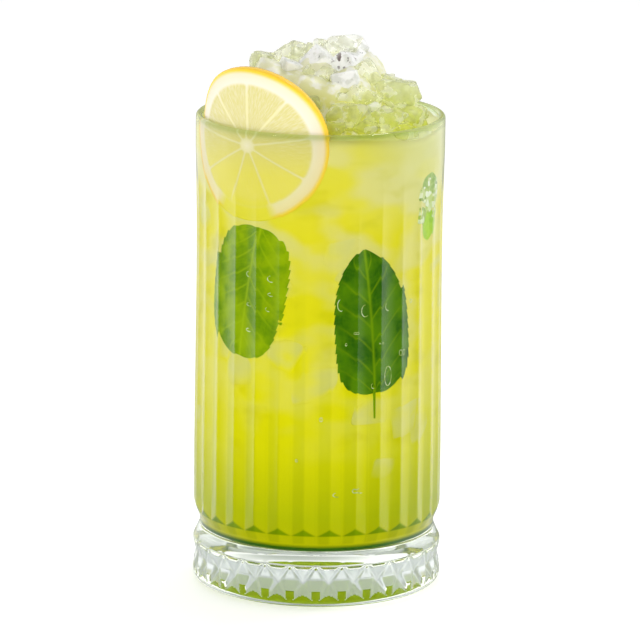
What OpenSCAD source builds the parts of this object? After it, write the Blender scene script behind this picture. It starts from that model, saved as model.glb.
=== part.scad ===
// A mojito in a tall fluted glass: cloudy lime drink, a heap of crushed ice
// standing above the rim, a bent lemon slice against the wall and two mint
// leaves pressed to the inside of the glass. The front faces -Y, the origin is
// the centre of the foot on the table.

/* [Glass] */
// Height of the glass from the table to the rim
glass_h = 151.5; // [126:0.5:182]
// Radius of the ridges between the flutes
body_r = 39.25; // [32.5:0.05:47.5]
// Depth of the flutes under the ridges
flute_depth = 0.85; // [0.5:0.05:1.2]
// Number of flutes round the body and of stars round the foot
flutes = 30; // [24:2:36]
// Distance under the rim where the flutes have run out into the smooth band
flute_stop = 14; // [12:0.5:18]
// Length over which each flute runs out at the top
flute_runout = 6.5; // [4:0.5:9]
// How far the lip stands out past the ridges
lip_out = 0.2; // [0.1:0.05:0.4]
// Height of the lip band under the rim
lip_band = 8.5; // [6:0.5:10]
// Thickness of the rim
rim_wall = 2.2; // [1.8:0.1:2.8]
// Thickness of the wall at the ridges just above the floor
low_wall = 5.5; // [4.5:0.1:6.6]
// Height of the inside floor above the table
floor_z = 16; // [14:0.5:22]
// Radius of the corner between floor and inner wall
floor_round = 5; // [4:0.5:8]

/* [Foot] */
// How far the foot stands out past the ridges
foot_out = 0.35; // [0.1:0.05:0.8]
// Height of the upright side of the foot
foot_h = 13.7; // [12:0.1:15.5]
// Radius of the lower edge of the foot
foot_round = 2.8; // [2:0.1:3.4]
// Depth of the neck groove between foot and body
neck_in = 1.75; // [1.4:0.05:2.1]
// Height of the foot's sloping shoulder
shoulder_h = 4.3; // [3.5:0.1:5]
// Height of the neck between shoulder and body
neck_h = 2.6; // [2:0.1:3.2]
// Height of the rounded lower corner of the body
corner_h = 4.6; // [3.5:0.1:5.6]
// Depth of the star cuts at their centres
star_depth = 1.5; // [1:0.1:1.8]
// Half width of each arm of a star, as a share of the space between stars
star_arm = 0.37; // [0.3:0.01:0.41]
// Depth of the ring groove that joins the stars
ring_depth = 0.9; // [0.6:0.1:1.1]

/* [Drink] */
// Distance of the drink's surface under the rim
drink_drop = 6; // [5.5:0.5:20]
// Clearance between the drink and the glass
drink_gap = 0.25; // [0.15:0.05:0.3]

/* [Ice heap] */
// Free width between the heap's foot and the inner wall
heap_gap = 7; // [5.8:0.1:9]
// Height of the heap's shoulder above the drink
heap_h = 24; // [18:0.5:28]
// Extra height of the peak above the shoulder
peak_h = 6.5; // [4:0.5:8]
// Sideways place of the peak
peak_x = 7; // [-6:0.5:10]
// How far the chunks of ice stand out of the heap's surface
heap_rough = 2.4; // [1:0.1:3]
// Number of chunks that show in the heap's surface
heap_chunks = 46; // [20:1:60]
// Half width of one chunk
chunk_half = 4; // [3:0.5:5]
// Rings of points between the heap's centre and its edge
heap_rings = 12; // [8:1:14]
// Points round the heap
heap_sides = 48; // [36:4:56]

/* [Lemon slice] */
// Radius of the slice measured along its bent face
lemon_r = 24.4; // [20.3:0.1:29.3]
// Thickness of the slice
lemon_t = 4; // [3.2:0.1:4.8]
// Distance of the slice's centre under the rim
lemon_drop = 5; // [2:0.5:8]
// Turn of the slice's centre from the front, to the left
lemon_turn = 37; // [30:1:48]
// Width of the peel and pith together
lemon_rind = 4.4; // [3.4:0.1:5.4]
// Number of segments in the slice
lemon_segments = 9; // [7:1:11]
// Depth of each segment under the skins on both faces
lemon_relief = 0.4; // [0.2:0.1:0.6]
// Clearance between the slice and the inner wall
lemon_gap = 0.3; // [0.2:0.05:0.4]
// Clearance between the slice and the ice heap
heap_clear = 0.8; // [0.5:0.1:2]

/* [Mint leaves] */
// Thickness of a leaf
leaf_t = 0.6; // [0.5:0.05:0.75]
// Clearance between a leaf and the inner wall
leaf_gap = 0.3; // [0.25:0.05:0.4]
// Clearance between the drink and what stands in it
pocket_gap = 0.2; // [0.15:0.05:0.3]
// Length of the left leaf
left_leaf_l = 43; // [35.5:0.5:52]
// Width of the left leaf
left_leaf_w = 27.5; // [22.5:0.5:33]
// Distance between the lemon slice and the left leaf's tip
left_leaf_drop = 1.1; // [0.6:0.1:6]
// Turn of the left leaf's middle from the front, to the left
left_leaf_turn = 36; // [33:0.5:43]
// Lean of the left leaf to the right
left_leaf_lean = 12; // [4:1:15]
// Length of the right leaf
right_leaf_l = 47; // [39:0.5:56]
// Width of the right leaf
right_leaf_w = 26; // [21.5:0.5:31]
// Distance of the right leaf's middle under the rim
right_leaf_drop = 60; // [50:0.5:64]
// Turn of the right leaf's middle from the front, to the right
right_leaf_turn = 28; // [26:0.5:34]
// Lean of the right leaf to the left
right_leaf_lean = 6; // [0:1:9]
// Length of the right leaf's stalk
stalk_l = 8; // [5:0.5:10]
// Depth of the teeth along a leaf's edge
tooth_d = 0.8; // [0.5:0.1:1]

/* [Hidden] */
$fn = 96;
e = 0.01;
pitch = 360 / flutes;
half_pitch = pitch / 2;
valley_r = body_r - flute_depth;
lip_r = body_r + lip_out;
foot_r = body_r + foot_out;
neck_r = body_r - neck_in;
neck_low = foot_h + shoulder_h;
neck_high = neck_low + neck_h;
flute_top = glass_h - flute_stop;
// Room that a cutting shape reaches past the surface it cuts
over = 2;
// The inner wall widens a little more in its top part, under the rim
rim_inner_r = lip_r - rim_wall;
flare_z = glass_h - 11.5;
flare_in = 1.4;
low_inner_r = body_r - low_wall;
straight_z = floor_z + floor_round;
crest = rim_wall / 2;
corner_env = body_r + 0.3;
shoulder_mid = [(foot_r + neck_r) / 2 - 0.25, (foot_h + neck_low) / 2 + 0.15];
drink_level = glass_h - drink_drop;
lemon_z = glass_h - lemon_drop;
left_leaf_z = lemon_z - lemon_r - left_leaf_drop - left_leaf_l / 2 * cos(left_leaf_lean);
right_leaf_z = glass_h - right_leaf_drop;

// Points of an arc about c with radius r from angle a to angle b
function arc(c, r, a, b, n = 8) = [for (i = [0:n]) c + r * [cos(a + (b - a) * i / n), sin(a + (b - a) * i / n)]];

// Radius of the inner wall at height z
function inner_r(z) = z > flare_z
    ? rim_inner_r - flare_in + flare_in * (z - flare_z) / (glass_h - crest - flare_z)
    : low_inner_r + (rim_inner_r - flare_in - low_inner_r) * (z - straight_z) / (flare_z - straight_z);

// A place on a round wall: arc length s to the right of turn a, as an angle from +X
function place(s, r, a) = -90 + a + s / r * 180 / PI;

// ---- glass ----

module cavity_shape(inset = 0, top = glass_h + over, floor_in = 0) {
    f = floor_z + floor_in;
    rc = floor_round;
    low = inner_r(straight_z) - inset;
    rotate_extrude() polygon(concat(
        [[0, f]],
        arc([low - rc, f + rc], rc, -90, 0),
        [[inner_r(flare_z) - inset, flare_z],
         [inner_r(min(top, glass_h - crest)) - inset, min(top, glass_h - crest)]],
        top > glass_h ? [[inner_r(glass_h - crest) - inset, top]] : [],
        [[0, top]]));
}

module foot() {
    difference() {
        rotate_extrude() polygon(concat(
            [[0, 0]],
            arc([foot_r - foot_round, foot_round], foot_round, -90, 0, 5),
            [[foot_r, foot_h], shoulder_mid, [neck_r, neck_low], [neck_r, neck_high + e], [0, neck_high + e]]));
        ring_groove();
        for (i = [0:flutes - 1]) rotate([0, 0, -90 + half_pitch + i * pitch]) star_cut();
    }
}

// The shallow groove that runs round the foot through every star
module ring_groove() {
    mid = foot_h * 0.66;
    half = foot_h * 0.275;
    slope = half / ring_depth;
    rotate_extrude() polygon([
        [foot_r - ring_depth, mid],
        [foot_r + over, mid - slope * (ring_depth + over)],
        [foot_r + over, mid + slope * (ring_depth + over)]]);
}

// Two crossed V cuts, each widest at the crossing and pointed at its ends
module star_cut() {
    chord = foot_r * PI / flutes;
    top = [chord * 1.04, foot_h + 0.6];
    low = [-chord * 0.8, foot_h * 0.16];
    t = top[0] / (top[0] - low[0]);
    mid = [0, top[1] + (low[1] - top[1]) * t];
    along = (top - low) / norm(top - low);
    across = [-along[1], along[0]] * star_arm * 2 * chord;
    for (side = [-1, 1]) {
        mirror([0, side < 0 ? 1 : 0, 0]) polyhedron(
            points = [
                [foot_r + 0.05, top[0], top[1]],
                [foot_r + 0.05, mid[0] + across[0], mid[1] + across[1]],
                [foot_r + 0.05, low[0], low[1]],
                [foot_r + 0.05, mid[0] - across[0], mid[1] - across[1]],
                [foot_r - star_depth, mid[0], mid[1]],
                [foot_r + over, mid[0], mid[1]]],
            faces = [[0, 4, 1], [1, 4, 2], [2, 4, 3], [3, 4, 0], [1, 5, 0], [2, 5, 1], [3, 5, 2], [0, 5, 3]]);
    }
}

// The straight run of the flutes: a star-shaped bar with a ridge between each two valleys
module flute_bar() {
    translate([0, 0, neck_high - 1]) linear_extrude(flute_top - neck_high + 0.5) polygon([
        for (i = [0:2 * flutes - 1]) let (r = i % 2 == 0 ? valley_r : body_r, a = -90 + i * half_pitch)
            r * [cos(a), sin(a)]]);
}

// The body's round outline that the ridges are worked down to at their ends
module body_outline() {
    steps = 5;
    rotate_extrude() polygon(concat(
        [[0, neck_high - 1], [neck_r - 1, neck_high - 1], [neck_r - 1, neck_high], [neck_r, neck_high]],
        [for (i = [1:steps]) let (a = 90 * i / (steps + 0.4))
            [neck_r + (corner_env - neck_r) * sin(a), neck_high + corner_h * (1 - cos(a))]],
        [[corner_env, neck_high + corner_h + 1],
         [corner_env, flute_top - flute_runout - over],
         [valley_r + 0.45, flute_top + over],
         [0, flute_top + over]]));
}

module lip() {
    rotate_extrude() polygon(concat(
        [[0, flute_top - flute_runout],
         [valley_r - 0.12, flute_top - flute_runout],
         [valley_r + 0.62, flute_top],
         [lip_r, glass_h - lip_band]],
        arc([lip_r - crest, glass_h - crest], crest, 0, 90, 5),
        [[lip_r - crest - e, glass_h], [0, glass_h]]));
}

// The inner half of the rim's rounding, left standing when the cavity is cut
module rim_round() {
    rotate_extrude() polygon(concat(
        arc([lip_r - crest, glass_h - crest], crest, 90, 180, 5),
        [[lip_r - rim_wall - over, glass_h - crest], [lip_r - rim_wall - over, glass_h + over],
         [lip_r - crest, glass_h + over]]));
}

module glass() color([0.86, 0.93, 0.88, 0.4]) {
    difference() {
        union() {
            foot();
            intersection() {
                flute_bar();
                body_outline();
            }
            lip();
        }
        cavity_shape();
        rim_round();
    }
}

// ---- drink ----

module drink() color([0.83, 0.83, 0.2]) {
    difference() {
        cavity_shape(drink_gap, drink_level, drink_gap);
        lemon_pocket();
        leaf_pocket(left_leaf_turn * -1, left_leaf_z, left_leaf_lean, left_leaf_l, left_leaf_w, 0);
        leaf_pocket(right_leaf_turn, right_leaf_z, -right_leaf_lean, right_leaf_l, right_leaf_w, stalk_l);
    }
}

// ---- ice heap ----

seed = 41;
chunk_x = rands(-0.95, 0.95, heap_chunks, seed);
chunk_y = rands(-0.95, 0.95, heap_chunks, seed + 1);
chunk_lift = rands(-0.2, 1, heap_chunks, seed + 2);
chunk_tilt_x = rands(-0.35, 0.35, heap_chunks, seed + 3);
chunk_tilt_y = rands(-0.35, 0.35, heap_chunks, seed + 4);
chunk_turn = rands(0, 90, heap_chunks, seed + 5);
skirt = 2.4;
lemon_out = inner_r(lemon_z - lemon_r) - lemon_gap;
heap_r = min(inner_r(drink_level) - heap_gap, (lemon_out - lemon_t - heap_clear) / 1.024);

function heap_edge(a) = heap_r * (1 + 0.014 * sin(5 * a + 20) + 0.01 * sin(11 * a + 75));

// Height of the plain mound over the drink at a place given as fractions of its radius
function mound(x, y) =
    heap_h * (1 - 0.12 * x) * max(0, 1 - pow(abs(x), 5) - pow(abs(y), 2.6))
    + peak_h * exp(-(pow(x * heap_r - peak_x, 2) + pow(y * heap_r, 2)) / 70) + skirt;

// One chunk of ice as a tilted block top with steep sides, by the place it covers
function chunk_top(i, x, y) = let (
    dx = (x - chunk_x[i]) * heap_r, dy = (y - chunk_y[i]) * heap_r,
    u = dx * cos(chunk_turn[i]) + dy * sin(chunk_turn[i]),
    v = dy * cos(chunk_turn[i]) - dx * sin(chunk_turn[i]))
    mound(chunk_x[i], chunk_y[i]) + heap_rough * chunk_lift[i]
    + chunk_tilt_x[i] * u + chunk_tilt_y[i] * v
    - 1.6 * max(0, abs(u) - chunk_half) - 1.6 * max(0, abs(v) - chunk_half * 0.8);

// Height of the heap over the drink: the mound with the chunks that stand out of it
function heap_top(x, y) = min(heap_h + peak_h + skirt - 1.6,
    max(concat([mound(x, y) - 0.6], [for (i = [0:heap_chunks - 1])
        chunk_x[i] * chunk_x[i] + chunk_y[i] * chunk_y[i] < 0.8 ? chunk_top(i, x, y) : 0])));

module ice_heap() color([0.86, 0.9, 0.72]) {
    n = heap_sides;
    top = [for (i = [1:heap_rings], j = [0:n - 1]) let (f = i / heap_rings, a = 360 * j / n, r = f * heap_edge(a),
        fade = f < 0.8 ? 1 : (1 - f) / 0.2)
        [r * cos(a), r * sin(a), drink_level + skirt + fade * (max(skirt, heap_top(f * cos(a), f * sin(a))) - skirt)]];
    foot_ring = [for (j = [0:n - 1]) let (a = 360 * j / n) [heap_edge(a) * cos(a), heap_edge(a) * sin(a), drink_level]];
    last = heap_rings * n;
    points = concat(top, foot_ring, [[0, 0, drink_level + heap_top(0, 0)], [0, 0, drink_level]]);
    apex = last + n;
    under = last + n + 1;
    faces = concat(
        [for (j = [0:n - 1]) [apex, (j + 1) % n, j]],
        [for (i = [0:heap_rings - 2], j = [0:n - 1], s = [0, 1])
            let (p = i * n + j, q = i * n + (j + 1) % n, turned = (i + j) % 2 == 0)
            s == 0 ? (turned ? [p, q, q + n] : [p, q, p + n]) : (turned ? [p, q + n, p + n] : [q, q + n, p + n])],
        [for (j = [0:n - 1], s = [0, 1]) let (p = last - n + j, q = last - n + (j + 1) % n)
            s == 0 ? [p, q, last + (j + 1) % n] : [p, last + (j + 1) % n, last + j]],
        [for (j = [0:n - 1]) [under, last + j, last + (j + 1) % n]]);
    polyhedron(points = points, faces = faces);
}

// ---- lemon slice ----

lemon_mid = lemon_out - lemon_t / 2;
flesh_r = lemon_r - lemon_rind;
core_r = 2.2;
edge_round = 0.7;

// Depth of the relief at distance r from the core, on the line with number j of n
function relief(r, j, n) = let (per = n / lemon_segments)
    r <= core_r || r >= flesh_r || j % per == 0 ? 0 : r < core_r + 1 && (j % per == 1 || j % per == per - 1) ? 0 : lemon_relief;

// A point of the bent slice: distance r from the core along the wall, turned by a, at radius w from the axis
function bent(r, a, w) = let (t = -90 - lemon_turn + r * cos(a) / lemon_mid * 180 / PI)
    [w * cos(t), w * sin(t), lemon_z + r * sin(a)];

// A round slice wrapped to the wall between two radii, with the given rings and n points round it
module bent_slice(rings, n, far, near, cut = false, rounding = 0) {
    k = len(rings);
    layer = [for (side = [0, 1], i = [0:k - 1], j = [0:n - 1]) let (
        d = (cut ? relief(rings[i], j, n) : 0) + (i == k - 1 ? rounding : 0))
        bent(rings[i], 360 * j / n + 12, side == 0 ? far - d : near + d)];
    points = concat(layer, [bent(0, 0, far), bent(0, 0, near)]);
    half = k * n;
    faces = concat(
        [for (j = [0:n - 1]) [2 * half, (j + 1) % n, j]],
        [for (j = [0:n - 1]) [2 * half + 1, half + j, half + (j + 1) % n]],
        [for (i = [0:k - 2], j = [0:n - 1], s = [0, 1]) let (p = i * n + j, q = i * n + (j + 1) % n)
            s == 0 ? [p, q, q + n] : [p, q + n, p + n]],
        [for (i = [0:k - 2], j = [0:n - 1], s = [0, 1]) let (p = half + i * n + j, q = half + i * n + (j + 1) % n)
            s == 0 ? [q, p, q + n] : [q + n, p, p + n]],
        [for (j = [0:n - 1], s = [0, 1]) let (p = half - n + j, q = half - n + (j + 1) % n)
            s == 0 ? [p, q, q + half] : [p, q + half, p + half]]);
    polyhedron(points = points, faces = faces);
}

module lemon_slice() color([0.95, 0.85, 0.25]) bent_slice(
    [core_r, core_r + 0.7, flesh_r * 0.35, flesh_r * 0.55, flesh_r * 0.78, flesh_r - 0.4, flesh_r,
     (flesh_r + lemon_r) / 2, lemon_r - edge_round, lemon_r],
    lemon_segments * 8, lemon_out, lemon_out - lemon_t, true, edge_round);

module lemon_pocket() bent_slice([for (i = [1:5]) (lemon_r + pocket_gap) * i / 5], 40,
    lemon_out + over, lemon_out - lemon_t - pocket_gap);

// ---- mint leaves ----

// Half width of a leaf at fraction t of its length from the stalk end, with teeth
function leaf_half(t, w, grow) = w / 2 * pow(sin(180 * pow(t, 0.86)), 0.62) + grow;

// A leaf's outline about its middle: up the right side, down the left side
function leaf_outline(l, w, stalk, lean, grow = 0, n = 15) = let (
    right = [for (i = [0:2 * n]) let (t = (i + 0.5) / (2 * n + 1)) [leaf_half(t, w, grow) + (i % 2 == 0 ? 0 : tooth_d), (t - 0.5) * l]],
    left = [for (i = [2 * n:-1:0]) [-right[i][0], right[i][1]]],
    flat = concat([[0.45 + grow, -l / 2 - stalk - grow], [0.45 + grow, -l / 2 - grow]], right, [[0, l / 2 + grow]], left,
        [[-0.45 - grow, -l / 2 - grow], [-0.45 - grow, -l / 2 - stalk - grow]]))
    [for (p = flat) [p[0] * cos(lean) + p[1] * sin(lean), p[1] * cos(lean) - p[0] * sin(lean)]];

// The leaf's flat outline wrapped to the wall and run out from the axis as a bar
module leaf_bar(turn, z, lean, l, w, stalk, grow = 0) {
    r = inner_r(z);
    rotate([0, 0, turn]) translate([0, 0, z]) rotate([90, 0, 0]) linear_extrude(r + over)
        polygon([for (p = leaf_outline(l, w, stalk, lean, grow)) [r * sin(p[0] / r * 180 / PI), p[1]]]);
}

// A thin coat on the inner wall between two clearances from it
module wall_coat(z_low, z_high, near, far) {
    rotate_extrude() polygon([
        [inner_r(z_low) - far, z_low], [inner_r(z_low) - near, z_low],
        [inner_r(z_high) - near, z_high], [inner_r(z_high) - far, z_high]]);
}

module leaf(turn, z, lean, l, w, stalk) {
    intersection() {
        wall_coat(z - l, z + l * 0.7, leaf_gap, leaf_gap + leaf_t);
        leaf_bar(turn, z, lean, l, w, stalk);
    }
}

module leaf_pocket(turn, z, lean, l, w, stalk) {
    intersection() {
        wall_coat(z - l, z + l * 0.7, drink_gap - over, leaf_gap + leaf_t + pocket_gap);
        leaf_bar(turn, z, lean, l, w, stalk, pocket_gap);
    }
}

module mint_leaf_left() color([0.35, 0.55, 0.1]) leaf(-left_leaf_turn, left_leaf_z, left_leaf_lean, left_leaf_l, left_leaf_w, 0);

module mint_leaf_right() color([0.28, 0.5, 0.1]) leaf(right_leaf_turn, right_leaf_z, -right_leaf_lean, right_leaf_l, right_leaf_w, stalk_l);

glass();
drink();
ice_heap();
lemon_slice();
mint_leaf_left();
mint_leaf_right();
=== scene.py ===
# %% [markdown]
# # A mojito in a fluted glass
# The drink stands in a heavy pressed glass. Cloudy lime juice and crushed ice fill it to the rim, more ice
# is heaped on top, a lemon slice is tucked inside the wall and two mint leaves are pressed against the
# glass. Every size below is in metres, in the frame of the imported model, with the front of the drink
# towards -Y.

import math

import bpy
import numpy as np
from mathutils import Matrix, Vector


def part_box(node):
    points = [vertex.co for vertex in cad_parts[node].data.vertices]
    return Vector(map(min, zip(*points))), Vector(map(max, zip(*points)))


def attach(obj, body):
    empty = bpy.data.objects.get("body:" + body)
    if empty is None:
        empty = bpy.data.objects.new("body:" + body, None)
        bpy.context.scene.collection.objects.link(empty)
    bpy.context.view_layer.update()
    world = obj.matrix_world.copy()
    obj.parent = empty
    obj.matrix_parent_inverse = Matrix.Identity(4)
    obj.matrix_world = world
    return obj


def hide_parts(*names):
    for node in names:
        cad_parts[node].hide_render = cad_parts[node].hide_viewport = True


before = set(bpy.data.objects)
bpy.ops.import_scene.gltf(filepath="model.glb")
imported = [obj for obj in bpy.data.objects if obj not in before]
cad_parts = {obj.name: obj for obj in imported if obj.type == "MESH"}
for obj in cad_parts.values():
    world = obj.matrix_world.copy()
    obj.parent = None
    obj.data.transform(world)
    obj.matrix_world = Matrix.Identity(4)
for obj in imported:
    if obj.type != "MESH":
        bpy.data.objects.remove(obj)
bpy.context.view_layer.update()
MM = 0.001

# %% [markdown]
# ## Meshes from whole arrays
# A surface of this drink is a function of two parameters, worked out for all points at once. These helpers
# put the arrays into Blender meshes. `foreach_set` copies an array in one go, which is far quicker than
# adding vertices one at a time.


# %% Mesh helpers
def make_piece(name, points, faces):
    """A mesh object from an (n, 3) array of points and a list of arrays of faces with equal corner counts."""
    mesh = bpy.data.meshes.new(name)
    counts = np.concatenate([np.full(len(f), f.shape[1], dtype=np.int32) for f in faces])
    corners = np.concatenate([f.astype(np.int32).ravel() for f in faces])
    mesh.vertices.add(len(points))
    mesh.vertices.foreach_set("co", np.asarray(points, dtype=np.float32).ravel())
    mesh.loops.add(len(corners))
    mesh.loops.foreach_set("vertex_index", corners)
    mesh.polygons.add(len(counts))
    mesh.polygons.foreach_set("loop_start", np.concatenate([[0], np.cumsum(counts)[:-1]]).astype(np.int32))
    mesh.polygons.foreach_set("use_smooth", np.full(len(counts), True))
    mesh.update(calc_edges=True)
    mesh.validate()
    tris = np.vstack([f[:, [0, i, i + 1]] for f in faces for i in range(1, f.shape[1] - 1)])
    a, b, c = (np.asarray(points)[tris[:, i]] for i in range(3))
    volume = np.einsum("ij,ij->i", a, np.cross(b, c)).sum() / 6 / MM**3
    piece = bpy.data.objects.new(name, mesh)
    bpy.context.collection.objects.link(piece)
    print(f"{name}: {len(points)} points, {len(tris)} triangles, {volume:.0f} mm3")
    return piece


def ring_quads(rows, cols):
    """Quads between the rings of a grid that closes on itself round each ring."""
    i = np.arange(rows - 1)[:, None] * cols
    j = np.arange(cols)[None, :]
    k = (j + 1) % cols
    return np.stack([i + j, i + k, i + cols + k, i + cols + j], axis=-1).reshape(-1, 4)


def ring_cap(first, cols, centre, up):
    """Triangles from one ring to a centre point, wound upwards or downwards."""
    j = first + np.arange(cols)
    k = first + (np.arange(cols) + 1) % cols
    mid = np.full(cols, centre)
    return np.stack([j, k, mid] if up else [k, j, mid], axis=-1)


def closed_rings(rows, cols, start=0, flip=False):
    """Quads and caps of a grid of rings. The two points that follow the grid close its ends."""
    end = start + rows * cols
    quads = ring_quads(rows, cols) + start
    caps = np.vstack([ring_cap(start, cols, end, False), ring_cap(end - cols, cols, end + 1, True)])
    return [quads[:, ::-1], caps[:, ::-1]] if flip else [quads, caps]


def with_ends(tube, sides):
    """A tube's points, followed by the middles of its first and last ring."""
    return np.vstack([tube, tube[:sides].mean(axis=0), tube[-sides:].mean(axis=0)])


def repeated(faces, count, step):
    """The same faces for several bodies in one mesh, whose points follow each other a step apart."""
    return (faces + step * np.arange(count)[:, None, None]).reshape(-1, faces.shape[1])


def turned(radius, angle, height):
    """Points (radius cos angle, radius sin angle, height) about the glass's axis, one row each."""
    radius, angle, height = np.broadcast_arrays(radius, angle, height)
    return np.stack([radius * np.cos(angle), radius * np.sin(angle), height], axis=-1).reshape(-1, 3)


def store(piece, name, values):
    """Keeps one number for each point of a piece, for its material to read. Points left over get 0."""
    numbers = np.zeros(len(piece.data.vertices), dtype=np.float32)
    numbers[:np.size(values)] = np.ravel(values)
    piece.data.attributes.new(name, "FLOAT", "POINT").data.foreach_set("value", numbers)


def ease(value, start, width):
    """A number that climbs in a straight line from 0 at the start to 1 a width further on."""
    return np.clip((value - start) / width, 0, 1)


def soft_min(a, b, width):
    """The smaller of two arrays, with the corner between them rounded over a width."""
    h = np.clip(0.5 + 0.5 * (b - a) / width, 0, 1)
    return b + (a - b) * h - width * h * (1 - h)


# %% [markdown]
# ## The shape of the glass
# A pressed glass has one outline turned round its axis: foot, sloping shoulder, neck groove, body and lip.
# The flutes and the star cuts are then a change of radius that depends on the angle as well. The inside is
# a plain tapered well, so that the plunger of the press can be drawn out of it.

# %% Sizes of the glass
FOOT_R, _, RIM_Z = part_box("glass")[1]
FRONT = -math.pi / 2
FLUTES = 30
FLUTE_TURN = 2 * math.pi / FLUTES
BODY_R = FOOT_R - 0.35 * MM
CORNER_R = BODY_R + 0.4 * MM
FLUTE_DEPTH = 0.85 * MM
LIP_R = BODY_R + 0.2 * MM
RIM_WALL = 2.2 * MM
LOW_WALL = 5.5 * MM
FLOOR_Z = 16 * MM
FLOOR_ROUND = 5 * MM
PUNT_R = 31 * MM
PUNT_H = 3.2 * MM
FOOT_H = 13.7 * MM
FOOT_ROUND = 2.8 * MM
NECK_R = BODY_R - 1.75 * MM
NECK_LOW = 18.0 * MM
NECK_HIGH = 20.6 * MM
CORNER_TOP = 26.2 * MM
HILL_LOW = 23.1 * MM
FADE_LOW = RIM_Z - 34 * MM
FADE_HIGH = RIM_Z - 11 * MM
CREST = RIM_WALL / 2
FLARE_Z = RIM_Z - 11.5 * MM
FLARE_IN = 1.4 * MM
STAR_DEPTH = 1.5 * MM
RING_DEPTH = 0.9 * MM


def inner_radius(z):
    """Radius of the well at height z: a straight taper, and a little more flare under the rim."""
    rim_in = LIP_R - RIM_WALL
    low_in = BODY_R - LOW_WALL
    straight = FLOOR_Z + FLOOR_ROUND
    taper = low_in + (rim_in - FLARE_IN - low_in) * (z - straight) / (FLARE_Z - straight)
    flare = rim_in - FLARE_IN + FLARE_IN * (z - FLARE_Z) / (RIM_Z - CREST - FLARE_Z)
    return np.where(z > FLARE_Z, flare, taper)


def arc_points(centre, radius, start, end, count):
    """Points (radius, height) along an arc, with both ends."""
    a = np.radians(np.linspace(start, end, count))
    return np.stack([centre[0] + radius * np.cos(a), centre[1] + radius * np.sin(a)], axis=-1)


WELL_LOW = FLOOR_Z + FLOOR_ROUND
WELL_R = float(inner_radius(WELL_LOW))


def star_relief(x, z):
    """Depth of the cuts on the foot at arc distance x from a star's centre and height z.

    Each of a star's two crossing cuts is a four-sided pyramid pointing inwards: its depth falls in a
    straight line with the distances along and across the cut. A V groove runs round the foot as well.
    """
    chord = FOOT_R * math.pi / FLUTES
    top = np.array([chord * 1.04, FOOT_H + 0.6 * MM])
    low = np.array([-chord * 0.8, FOOT_H * 0.16])
    mid_z = top[1] + (low[1] - top[1]) * top[0] / (top[0] - low[0])
    along = (top - low) / np.linalg.norm(top - low)
    reach_up = np.linalg.norm(top - [0, mid_z])
    reach_down = np.linalg.norm(low - [0, mid_z])
    half = 0.37 * 2 * chord
    depth = np.zeros_like(x)
    for side in (-1, 1):
        u = side * x * along[0] + (z - mid_z) * along[1]
        v = -side * x * along[1] + (z - mid_z) * along[0]
        reach = np.where(u > 0, reach_up, reach_down)
        depth = np.maximum(depth, STAR_DEPTH * (1 - np.abs(u) / reach - np.abs(v) / half))
    ring = RING_DEPTH * (1 - np.abs(z - 0.66 * FOOT_H) / (0.275 * FOOT_H))
    return np.maximum(depth, ring)


# %% [markdown]
# The outline goes up the outside, over the rounded rim and down the inside to the floor. Rows lie close
# together where the form changes quickly, as on the stars, and far apart on the straight flutes. Each row
# also says which zone it is in, because the foot is cut with stars and the body with flutes, and the rest
# is left plain.

# %% The outline of the glass
PLAIN, STARRED, FLUTED, LIP, INSIDE = range(5)


def glass_outline():
    """Rows (radius, height, zone) from the middle of the foot's underside to that of the inner floor."""
    rows = [[PUNT_R * f, PUNT_H * (1 - f**2), PLAIN] for f in np.linspace(0.08, 0.98, 12)]
    rows.append([PUNT_R + 0.6 * MM, 0, PLAIN])
    rows += [[r, z, STARRED] for r, z in
             arc_points((FOOT_R - FOOT_ROUND, FOOT_ROUND), FOOT_ROUND, -90, -18, 8)]
    for z in np.arange(2.3, 13.7, 0.33) * MM:
        drop = np.clip((FOOT_ROUND - z) / FOOT_ROUND, 0, 1)
        rows.append([FOOT_R - FOOT_ROUND * (1 - math.sqrt(1 - drop**2)), z, STARRED])
    rows.append([FOOT_R, FOOT_H, STARRED])
    rows += [[r, z, PLAIN] for r, z in (
        (FOOT_R - 0.2 * MM, FOOT_H + 0.5 * MM), (FOOT_R - 0.75 * MM, FOOT_H + 1.5 * MM),
        (NECK_R + 0.75 * MM, NECK_LOW - 1.3 * MM), (NECK_R + 0.35 * MM, NECK_LOW - 0.5 * MM),
        (NECK_R + 0.1 * MM, NECK_LOW + 0.2 * MM), (NECK_R, NECK_LOW + 0.8 * MM),
        (NECK_R, NECK_HIGH - 0.5 * MM))]
    for f in np.linspace(0.03, 1, 26):
        swell = 0.35 * math.sin(math.pi / 2 * f) + 0.65 * f
        rows.append([NECK_R + (CORNER_R - NECK_R) * swell, NECK_HIGH + (CORNER_TOP - NECK_HIGH) * f, FLUTED])
    for heights in (np.linspace(28, 129, 20), np.linspace(130, 138.5, 16), np.linspace(139.3, 149.5, 8)):
        rows += [[CORNER_R, z, FLUTED] for z in heights * MM]
    rows += [[r, z, LIP] for r, z in arc_points((LIP_R - CREST, RIM_Z - CREST), CREST, 10, 175, 12)]
    for heights in (np.linspace(149.6, 139, 7), np.linspace(132, 29, 14)):
        rows += [[float(inner_radius(z)), z, INSIDE] for z in heights * MM]
    rows += [[r, z, INSIDE] for r, z in arc_points((WELL_R - FLOOR_ROUND, WELL_LOW), FLOOR_ROUND, 0, -90, 10)]
    rows += [[WELL_R * f, FLOOR_Z, INSIDE] for f in (0.6, 0.3)]
    return np.array(rows)


def body_radius(z):
    """Radius of the flute ridges: a slight widening of the body towards its lower end."""
    return np.interp(z, np.array([25, 45, 100, 150]) * MM, np.array([0.2, 0.22, -0.25, -0.3]) * MM + BODY_R)


def flute_depth(to_ridge, z):
    """Depth of a flute: a hollow curve across it, which turns into a plain V towards its lower end."""
    power = 1 + ease(z, 26 * MM, 12 * MM)
    return FLUTE_DEPTH * (1 - to_ridge**power)


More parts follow.
